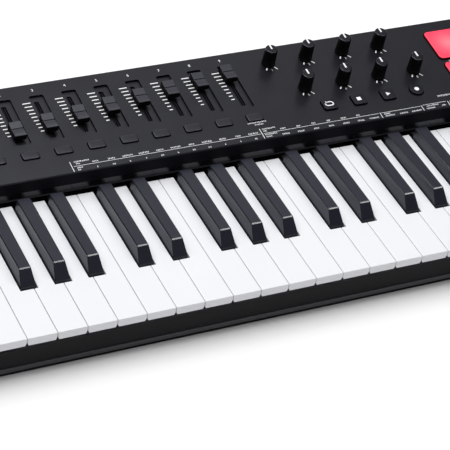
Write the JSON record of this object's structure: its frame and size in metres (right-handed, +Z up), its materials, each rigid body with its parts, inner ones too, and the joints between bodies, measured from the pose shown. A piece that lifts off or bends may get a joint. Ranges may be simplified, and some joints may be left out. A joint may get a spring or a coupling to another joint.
{
  "type": "midi keyboard",
  "caption": "Controller keyboard with hinged piano keys in front of a sloped panel of sliding faders, rotary knobs, push buttons and lit square pads, and thumb wheels at the left end.",
  "frame": {"origin": "centre of the footprint, at the surface the feet stand on", "axes": "+X along the keyboard towards the high notes, +Y from the key lips towards the rear wall, +Z up"},
  "size_m": [0.8, 0.2546, 0.0825],
  "materials": {
    "case": "fine matte moulded black plastic",
    "tray": "matte moulded dark grey plastic",
    "chassis_frame": "moulded dark grey plastic frame",
    "contact_rubber": "grey silicone",
    "circuit_board": "green solder-resist laminate",
    "window": "glossy dark tinted window",
    "socket_steel": "pressed plated steel",
    "foot_rubber": "matte black rubber",
    "white_key": "smooth satin white plastic",
    "black_key": "satin charcoal black plastic",
    "cap": "satin black plastic",
    "knob": "knurled black soft-touch plastic",
    "button": "satin dark grey plastic",
    "pad": "translucent silicone, lit red from behind",
    "wheel": "matte black rubber-coated wheel"
  },
  "bodies": {
    "case": {"top_housing": "case", "bottom_tray": "tray", "keybed_chassis": "chassis_frame", "key_contact_strip": "contact_rubber", "main_board": "circuit_board", "display_window": "window", "usb_socket": "socket_steel", "foot_front_left": "foot_rubber", "foot_front_right": "foot_rubber", "foot_rear_left": "foot_rubber", "foot_rear_right": "foot_rubber"},
    "white_keys_cegb_1": {"white_keys_cegb_1": "white_key"},
    "white_keys_dfa_1": {"white_keys_dfa_1": "white_key"},
    "black_keys_1": {"black_keys_1": "black_key"},
    "white_keys_cegb_2": {"white_keys_cegb_2": "white_key"},
    "white_keys_dfa_2": {"white_keys_dfa_2": "white_key"},
    "black_keys_2": {"black_keys_2": "black_key"},
    "white_keys_cegb_3": {"white_keys_cegb_3": "white_key"},
    "white_keys_dfa_3": {"white_keys_dfa_3": "white_key"},
    "black_keys_3": {"black_keys_3": "black_key"},
    "white_keys_cegb_4": {"white_keys_cegb_4": "white_key"},
    "white_keys_dfa_4": {"white_keys_dfa_4": "white_key"},
    "black_keys_4": {"black_keys_4": "black_key"},
    "top_c_key": {"top_c_key": "white_key"},
    "fader_cap_1": {"fader_cap_1": "cap"},
    "fader_cap_2": {"fader_cap_2": "cap"},
    "fader_cap_3": {"fader_cap_3": "cap"},
    "fader_cap_4": {"fader_cap_4": "cap"},
    "fader_cap_5": {"fader_cap_5": "cap"},
    "fader_cap_6": {"fader_cap_6": "cap"},
    "fader_cap_7": {"fader_cap_7": "cap"},
    "fader_cap_8": {"fader_cap_8": "cap"},
    "fader_cap_9": {"fader_cap_9": "cap"},
    "fader_button_1": {"fader_button_1": "button"},
    "fader_button_2": {"fader_button_2": "button"},
    "fader_button_3": {"fader_button_3": "button"},
    "fader_button_4": {"fader_button_4": "button"},
    "fader_button_5": {"fader_button_5": "button"},
    "fader_button_6": {"fader_button_6": "button"},
    "fader_button_7": {"fader_button_7": "button"},
    "fader_button_8": {"fader_button_8": "button"},
    "fader_button_9": {"fader_button_9": "button"},
    "knob_1": {"knob_1": "knob"},
    "knob_2": {"knob_2": "knob"},
    "knob_3": {"knob_3": "knob"},
    "knob_4": {"knob_4": "knob"},
    "knob_5": {"knob_5": "knob"},
    "knob_6": {"knob_6": "knob"},
    "knob_7": {"knob_7": "knob"},
    "knob_8": {"knob_8": "knob"},
    "loop_button": {"loop_button": "button"},
    "stop_button": {"stop_button": "button"},
    "play_button": {"play_button": "button"},
    "record_button": {"record_button": "button"},
    "pad_mat": {"pad_mat": "pad"},
    "pitch_wheel": {"pitch_wheel": "wheel"},
    "mod_wheel": {"mod_wheel": "wheel"},
    "octave_rocker": {"octave_rocker": "button"},
    "encoder_knob": {"encoder_knob": "knob"},
    "power_switch": {"power_switch": "cap"}
  },
  "joints": [
    {"name": "white_keys_cegb_1_hinge", "type": "hinge", "parent": "case", "child": "white_keys_cegb_1", "pos_m": [-0.2955, 0.062, 0.02325], "axis": [1, 0, 0], "range_deg": [0, 2.8], "stiffness_Nm_per_rad": 0.8, "springref_deg": -17.19},
    {"name": "white_keys_dfa_1_hinge", "type": "hinge", "parent": "case", "child": "white_keys_dfa_1", "pos_m": [-0.2955, 0.062, 0.02795], "axis": [1, 0, 0], "range_deg": [0, 2.8], "stiffness_Nm_per_rad": 0.6, "springref_deg": -17.19},
    {"name": "black_keys_1_hinge", "type": "hinge", "parent": "case", "child": "black_keys_1", "pos_m": [-0.2955, 0.062, 0.03265], "axis": [1, 0, 0], "range_deg": [0, 2.8], "stiffness_Nm_per_rad": 0.8, "springref_deg": -17.19},
    {"name": "white_keys_cegb_2_hinge", "type": "hinge", "parent": "case", "child": "white_keys_cegb_2", "pos_m": [-0.131, 0.062, 0.02325], "axis": [1, 0, 0], "range_deg": [0, 2.8], "stiffness_Nm_per_rad": 0.8, "springref_deg": -17.19},
    {"name": "white_keys_dfa_2_hinge", "type": "hinge", "parent": "case", "child": "white_keys_dfa_2", "pos_m": [-0.131, 0.062, 0.02795], "axis": [1, 0, 0], "range_deg": [0, 2.8], "stiffness_Nm_per_rad": 0.6, "springref_deg": -17.19},
    {"name": "black_keys_2_hinge", "type": "hinge", "parent": "case", "child": "black_keys_2", "pos_m": [-0.131, 0.062, 0.03265], "axis": [1, 0, 0], "range_deg": [0, 2.8], "stiffness_Nm_per_rad": 0.8, "springref_deg": -17.19},
    {"name": "white_keys_cegb_3_hinge", "type": "hinge", "parent": "case", "child": "white_keys_cegb_3", "pos_m": [0.0335, 0.062, 0.02325], "axis": [1, 0, 0], "range_deg": [0, 2.8], "stiffness_Nm_per_rad": 0.8, "springref_deg": -17.19},
    {"name": "white_keys_dfa_3_hinge", "type": "hinge", "parent": "case", "child": "white_keys_dfa_3", "pos_m": [0.0335, 0.062, 0.02795], "axis": [1, 0, 0], "range_deg": [0, 2.8], "stiffness_Nm_per_rad": 0.6, "springref_deg": -17.19},
    {"name": "black_keys_3_hinge", "type": "hinge", "parent": "case", "child": "black_keys_3", "pos_m": [0.0335, 0.062, 0.03265], "axis": [1, 0, 0], "range_deg": [0, 2.8], "stiffness_Nm_per_rad": 0.8, "springref_deg": -17.19},
    {"name": "white_keys_cegb_4_hinge", "type": "hinge", "parent": "case", "child": "white_keys_cegb_4", "pos_m": [0.198, 0.062, 0.02325], "axis": [1, 0, 0], "range_deg": [0, 2.8], "stiffness_Nm_per_rad": 0.8, "springref_deg": -17.19},
    {"name": "white_keys_dfa_4_hinge", "type": "hinge", "parent": "case", "child": "white_keys_dfa_4", "pos_m": [0.198, 0.062, 0.02795], "axis": [1, 0, 0], "range_deg": [0, 2.8], "stiffness_Nm_per_rad": 0.6, "springref_deg": -17.19},
    {"name": "black_keys_4_hinge", "type": "hinge", "parent": "case", "child": "black_keys_4", "pos_m": [0.198, 0.062, 0.03265], "axis": [1, 0, 0], "range_deg": [0, 2.8], "stiffness_Nm_per_rad": 0.8, "springref_deg": -17.19},
    {"name": "top_c_key_hinge", "type": "hinge", "parent": "case", "child": "top_c_key", "pos_m": [0.3625, 0.062, 0.02325], "axis": [1, 0, 0], "range_deg": [0, 2.8], "stiffness_Nm_per_rad": 0.25, "springref_deg": -17.19},
    {"name": "fader_1_slide", "type": "slide", "parent": "case", "child": "fader_cap_1", "axis": [0, 0.9931, 0.1172], "range_m": [-0.0002, 0.03021]},
    {"name": "fader_2_slide", "type": "slide", "parent": "case", "child": "fader_cap_2", "axis": [0, 0.9931, 0.1172], "range_m": [-0.00395, 0.02646]},
    {"name": "fader_3_slide", "type": "slide", "parent": "case", "child": "fader_cap_3", "axis": [0, 0.9931, 0.1172], "range_m": [-0.00769, 0.02272]},
    {"name": "fader_4_slide", "type": "slide", "parent": "case", "child": "fader_cap_4", "axis": [0, 0.9931, 0.1172], "range_m": [-0.01144, 0.01897]},
    {"name": "fader_5_slide", "type": "slide", "parent": "case", "child": "fader_cap_5", "axis": [0, 0.9931, 0.1172], "range_m": [-0.01519, 0.01523]},
    {"name": "fader_6_slide", "type": "slide", "parent": "case", "child": "fader_cap_6", "axis": [0, 0.9931, 0.1172], "range_m": [-0.01893, 0.01148]},
    {"name": "fader_7_slide", "type": "slide", "parent": "case", "child": "fader_cap_7", "axis": [0, 0.9931, 0.1172], "range_m": [-0.02268, 0.00773]},
    {"name": "fader_8_slide", "type": "slide", "parent": "case", "child": "fader_cap_8", "axis": [0, 0.9931, 0.1172], "range_m": [-0.02642, 0.00399]},
    {"name": "fader_9_slide", "type": "slide", "parent": "case", "child": "fader_cap_9", "axis": [0, 0.9931, 0.1172], "range_m": [-0.03017, 0.00024]},
    {"name": "fader_button_1_press", "type": "slide", "parent": "case", "child": "fader_button_1", "axis": [0, 0.1172, -0.9931], "range_m": [0, 0.0008], "stiffness_N_per_m": 150, "springref_m": -0.002},
    {"name": "fader_button_2_press", "type": "slide", "parent": "case", "child": "fader_button_2", "axis": [0, 0.1172, -0.9931], "range_m": [0, 0.0008], "stiffness_N_per_m": 150, "springref_m": -0.002},
    {"name": "fader_button_3_press", "type": "slide", "parent": "case", "child": "fader_button_3", "axis": [0, 0.1172, -0.9931], "range_m": [0, 0.0008], "stiffness_N_per_m": 150, "springref_m": -0.002},
    {"name": "fader_button_4_press", "type": "slide", "parent": "case", "child": "fader_button_4", "axis": [0, 0.1172, -0.9931], "range_m": [0, 0.0008], "stiffness_N_per_m": 150, "springref_m": -0.002},
    {"name": "fader_button_5_press", "type": "slide", "parent": "case", "child": "fader_button_5", "axis": [0, 0.1172, -0.9931], "range_m": [0, 0.0008], "stiffness_N_per_m": 150, "springref_m": -0.002},
    {"name": "fader_button_6_press", "type": "slide", "parent": "case", "child": "fader_button_6", "axis": [0, 0.1172, -0.9931], "range_m": [0, 0.0008], "stiffness_N_per_m": 150, "springref_m": -0.002},
    {"name": "fader_button_7_press", "type": "slide", "parent": "case", "child": "fader_button_7", "axis": [0, 0.1172, -0.9931], "range_m": [0, 0.0008], "stiffness_N_per_m": 150, "springref_m": -0.002},
    {"name": "fader_button_8_press", "type": "slide", "parent": "case", "child": "fader_button_8", "axis": [0, 0.1172, -0.9931], "range_m": [0, 0.0008], "stiffness_N_per_m": 150, "springref_m": -0.002},
    {"name": "fader_button_9_press", "type": "slide", "parent": "case", "child": "fader_button_9", "axis": [0, 0.1172, -0.9931], "range_m": [0, 0.0008], "stiffness_N_per_m": 150, "springref_m": -0.002},
    {"name": "knob_1_turn", "type": "hinge", "parent": "case", "child": "knob_1", "pos_m": [0.0758, 0.107, 0.06544], "axis": [0, -0.1172, 0.9931], "range_deg": [-150, 150]},
    {"name": "knob_2_turn", "type": "hinge", "parent": "case", "child": "knob_2", "pos_m": [0.1112, 0.107, 0.06544], "axis": [0, -0.1172, 0.9931], "range_deg": [-150, 150]},
    {"name": "knob_3_turn", "type": "hinge", "parent": "case", "child": "knob_3", "pos_m": [0.1466, 0.107, 0.06544], "axis": [0, -0.1172, 0.9931], "range_deg": [-150, 150]},
    {"name": "knob_4_turn", "type": "hinge", "parent": "case", "child": "knob_4", "pos_m": [0.1817, 0.107, 0.06544], "axis": [0, -0.1172, 0.9931], "range_deg": [-150, 150]},
    {"name": "knob_5_turn", "type": "hinge", "parent": "case", "child": "knob_5", "pos_m": [0.094, 0.0716, 0.06126], "axis": [0, -0.1172, 0.9931], "range_deg": [-150, 150]},
    {"name": "knob_6_turn", "type": "hinge", "parent": "case", "child": "knob_6", "pos_m": [0.1296, 0.0716, 0.06126], "axis": [0, -0.1172, 0.9931], "range_deg": [-150, 150]},
    {"name": "knob_7_turn", "type": "hinge", "parent": "case", "child": "knob_7", "pos_m": [0.1647, 0.0716, 0.06126], "axis": [0, -0.1172, 0.9931], "range_deg": [-150, 150]},
    {"name": "knob_8_turn", "type": "hinge", "parent": "case", "child": "knob_8", "pos_m": [0.1996, 0.0716, 0.06126], "axis": [0, -0.1172, 0.9931], "range_deg": [-150, 150]},
    {"name": "loop_button_press", "type": "slide", "parent": "case", "child": "loop_button", "axis": [0, 0.1172, -0.9931], "range_m": [0, 0.0008], "stiffness_N_per_m": 180, "springref_m": -0.002},
    {"name": "stop_button_press", "type": "slide", "parent": "case", "child": "stop_button", "axis": [0, 0.1172, -0.9931], "range_m": [0, 0.0008], "stiffness_N_per_m": 180, "springref_m": -0.002},
    {"name": "play_button_press", "type": "slide", "parent": "case", "child": "play_button", "axis": [0, 0.1172, -0.9931], "range_m": [0, 0.0008], "stiffness_N_per_m": 180, "springref_m": -0.002},
    {"name": "record_button_press", "type": "slide", "parent": "case", "child": "record_button", "axis": [0, 0.1172, -0.9931], "range_m": [0, 0.0008], "stiffness_N_per_m": 180, "springref_m": -0.002},
    {"name": "pad_mat_press", "type": "slide", "parent": "case", "child": "pad_mat", "axis": [0, 0.1172, -0.9931], "range_m": [0, 0.0012], "stiffness_N_per_m": 2500, "springref_m": -0.0012},
    {"name": "pitch_wheel_turn", "type": "hinge", "parent": "case", "child": "pitch_wheel", "pos_m": [-0.37, -0.062, 0.0268], "axis": [1, 0, 0], "range_deg": [-35, 35], "stiffness_Nm_per_rad": 0.03},
    {"name": "mod_wheel_turn", "type": "hinge", "parent": "case", "child": "mod_wheel", "pos_m": [-0.33, -0.062, 0.0268], "axis": [1, 0, 0], "range_deg": [-35, 35]},
    {"name": "octave_rocker_tilt", "type": "hinge", "parent": "case", "child": "octave_rocker", "pos_m": [-0.33, 0.048, 0.05848], "axis": [0, 0.9931, 0.1172], "range_deg": [-4, 4], "stiffness_Nm_per_rad": 0.05},
    {"name": "encoder_turn", "type": "hinge", "parent": "case", "child": "encoder_knob", "pos_m": [-0.268, 0.094, 0.06391], "axis": [0, -0.1172, 0.9931], "continuous": true},
    {"name": "power_switch_tilt", "type": "hinge", "parent": "case", "child": "power_switch", "pos_m": [0.29, 0.1242, 0.024], "axis": [0, 0, 1], "range_deg": [-7, 7]}
  ]
}
